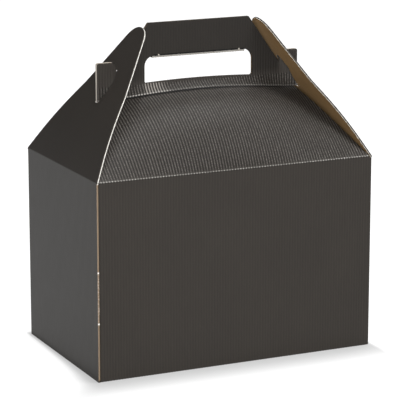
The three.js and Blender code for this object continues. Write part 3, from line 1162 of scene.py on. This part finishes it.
def crease_strip(name, side, finishes):
    """The bent board between an end wall and its gable flap."""
    start = -JOIN
    rows = even(start, CREASE_STRIP, CREASE_ROWS)

    def place(y, along):
        if along <= 0:
            return Vector((-HALF_LENGTH, y, EAVE + along))
        x, z = leaning(along, -flap_bow(along, side))
        narrow = 1 - along * math.tan(FLAP_TAPER) / HALF_WIDTH
        return Vector((x, y * narrow, z))

    piece = board(
        name, fluted(HALF_WIDTH, -HALF_WIDTH), rows, place, finishes,
        depth_of=lambda y, along: END_FLUTES,
    )
    if side > 0:
        piece.data.transform(Matrix.Rotation(math.pi, 4, "Z"))
    shade_smooth(piece, CRISP_BEND_EDGE)
    foot = Vector((side * HALF_LENGTH, 0, EAVE + start)) * MM
    x, z = leaning(CREASE_STRIP, 0)
    head = Vector((-side * x, 0, z)) * MM
    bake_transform(piece)


def softbox(name, place, power):
    """A square area lamp that faces the box."""
    light = bpy.data.lights.new(name, "AREA")
    light.shape = "RECTANGLE"
    light.size = light.size_y = LAMP_SIZE
    light.energy = power
    lamp = bpy.data.objects.new(name, light)
    bpy.context.scene.collection.objects.link(lamp)
    lamp.location = place
    towards = Vector(LAMP_AIM) - Vector(place)
    lamp.rotation_euler = towards.to_track_quat("-Z", "Y").to_euler()


def white_sweep():
    """A white backdrop round the foot of the room under a grey ceiling."""
    world = bpy.data.worlds.new("white_sweep")
    bpy.context.scene.world = world
    world.use_nodes = True
    room = Nodes(world.node_tree)
    direction = room.node("ShaderNodeTexCoord", output="Generated")
    height = room.parts(direction)[2]
    background = room.tree.nodes["Background"]
    ceiling = height.above(*CEILING_STARTS)
    colour = room.blend(ceiling, (1, 1, 1), (CEILING, CEILING, CEILING))
    room.join(colour, background.inputs["Color"])


def pale_floor():
    """White to the eye and in reflections, darkened by the box's own shadow and by a painted
    shadow in the glow beside the box.
    """
    bm = bmesh.new()
    bmesh.ops.create_grid(bm, x_segments=1, y_segments=1, size=FLOOR_SIZE)
    floor_finish = Finish("pale_floor")
    coordinates, (x, y, _) = floor_finish.place()
    # How far a place is from the box, counted faster where the painted shadow is narrower
    beside_ends = (abs(x) - HALF_LENGTH).positive()
    behind = y.above(0, HALF_WIDTH)
    beside_fronts = (abs(y) - HALF_WIDTH).positive() * (behind * BACK_CONTACT + 1)
    backwards = y / (2 * HALF_WIDTH) + 0.5
    right = x.above(0, HALF_LENGTH)
    ends_share = backwards * END_CONTACT_BACK + right * END_CONTACT_RIGHT + END_CONTACT
    near = ((beside_ends * ends_share) ** 2 + beside_fronts ** 2) ** 0.5
    far = floor_finish.node(
        "ShaderNodeVectorMath", {"operation": "LENGTH"}, {0: coordinates}, output="Value"
    ).above(*FLOOR_FADE)
    paths = floor_finish.tree.nodes.new("ShaderNodeLightPath")
    seen = sum(
        Wire(floor_finish, paths.outputs[name])
        for name in ("Is Camera Ray", "Is Glossy Ray", "Is Transmission Ray")
    )
    shade, pale, white = [(level, level, level) for level in (CONTACT_SHADOW_GLOW, FLOOR_GLOW, 1)]
    # The glow is lower beside the box: a painted shadow
    beside = floor_finish.blend(near.above(0, CONTACT_REACH), shade, pale)
    glow = floor_finish.blend(far, beside, white)
    floor = show("floor", bm, [floor_finish.finish(
        Base_Color=(FLOOR_TONE, FLOOR_TONE, FLOOR_TONE, 1),
        Roughness=1.0,
        Specular_IOR_Level=0.0,
        Emission_Color=floor_finish.blend(seen, (0, 0, 0), glow),
        Emission_Strength=1.0,
    )])
    floor.location.z = -FLOOR_DROP


def studio():
    white_sweep()
    pale_floor()
    for name, (place, power) in LAMPS.items():
        softbox(name, place, power)


def camera():
    """Looks along the fitted direction; the aim is right of and above the origin."""
    yaw, pitch = CAMERA_YAW, CAMERA_PITCH
    forward = Vector((
        math.sin(yaw) * math.cos(pitch), math.cos(yaw) * math.cos(pitch), -math.sin(pitch)
    ))
    right = Vector((math.cos(yaw), -math.sin(yaw), 0))
    up = right.cross(forward)
    place = (right * CAMERA_AIM[0] + up * CAMERA_AIM[1] - forward * CAMERA_DISTANCE) * MM
    data = bpy.data.cameras.new("camera")
    data.lens = CAMERA_LENS
    data.sensor_width = CAMERA_SENSOR
    eye = bpy.data.objects.new("camera", data)
    bpy.context.scene.collection.objects.link(eye)
    turn = Matrix((right, up, -forward)).transposed().to_4x4()
    eye.matrix_world = Matrix.Translation(place) @ turn
    bpy.context.scene.camera = eye


camera()
studio()

# One dark edge serves the roof, the handle, the tongue and the long floor flaps
handle_edge = cut_edge(
    "cut_edge_handle", DARK_EDGE, EDGE_DARK_AND_MOUTH_SHADE, "X", HANDLE_MOUTHS, [hook_marks]
)
seam_edge = cut_edge(
    "cut_edge_wall", KRAFT_EDGE, EDGE_DARK_AND_MOUTH_SHADE, "WALL", WALL_MOUTHS, [seam_marks]
)
ends = {-1: "left", 1: "right"}
flap_edges = {
    side: cut_edge(
        f"cut_edge_{end}_flap", PALE_EDGE, PALE_DARK_AND_MOUTH_SHADE, "Y", FLAP_MOUTHS, [lapped_edge(side)]
    )
    for side, end in ends.items()
}

front_marks = [handle_shade, roof_shade_and_sheen, eave_marks, ridge_marks, lip_marks]
wall_boards = board_finishes("walls", "WALL", seam_edge)
front_boards = board_finishes("front", "X", handle_edge, front_marks)
tongue_boards = board_finishes("tongue", "X", handle_edge, [fold_light_and_shadow])
flap_boards = {
    side: board_finishes(f"{end}_flap", "Y", flap_edges[side]) for side, end in ends.items()
}

body_walls = walls(wall_boards)
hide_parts("carton")
roof_and_handle("front_roof", False, front_boards)
roof_and_handle("back_roof", True, front_boards)
tongue(tongue_boards)

for part, form, finishes in (
    ("floor_flap", long_floor_flap, front_boards),
    ("lock_tab", lock_tab, front_boards),
):
    front_piece = smoothed(form(finishes), "carton")
    turned(front_piece, f"back_{part}")
left_piece = smoothed(end_floor_flap(flap_boards[-1]), "carton")
turned(left_piece, "right_floor_flap")

for side, end in ends.items():
    body, node = f"{end}_flap", f"{end}_gable_flap"
    gable_flap(f"{end}_flap_panel", body, node, side, flap_boards[side])
for side, end in ends.items():
    crease_strip(f"{end}_flap_bend", side, flap_boards[side])

bpy.context.scene.view_settings.view_transform = "Standard"
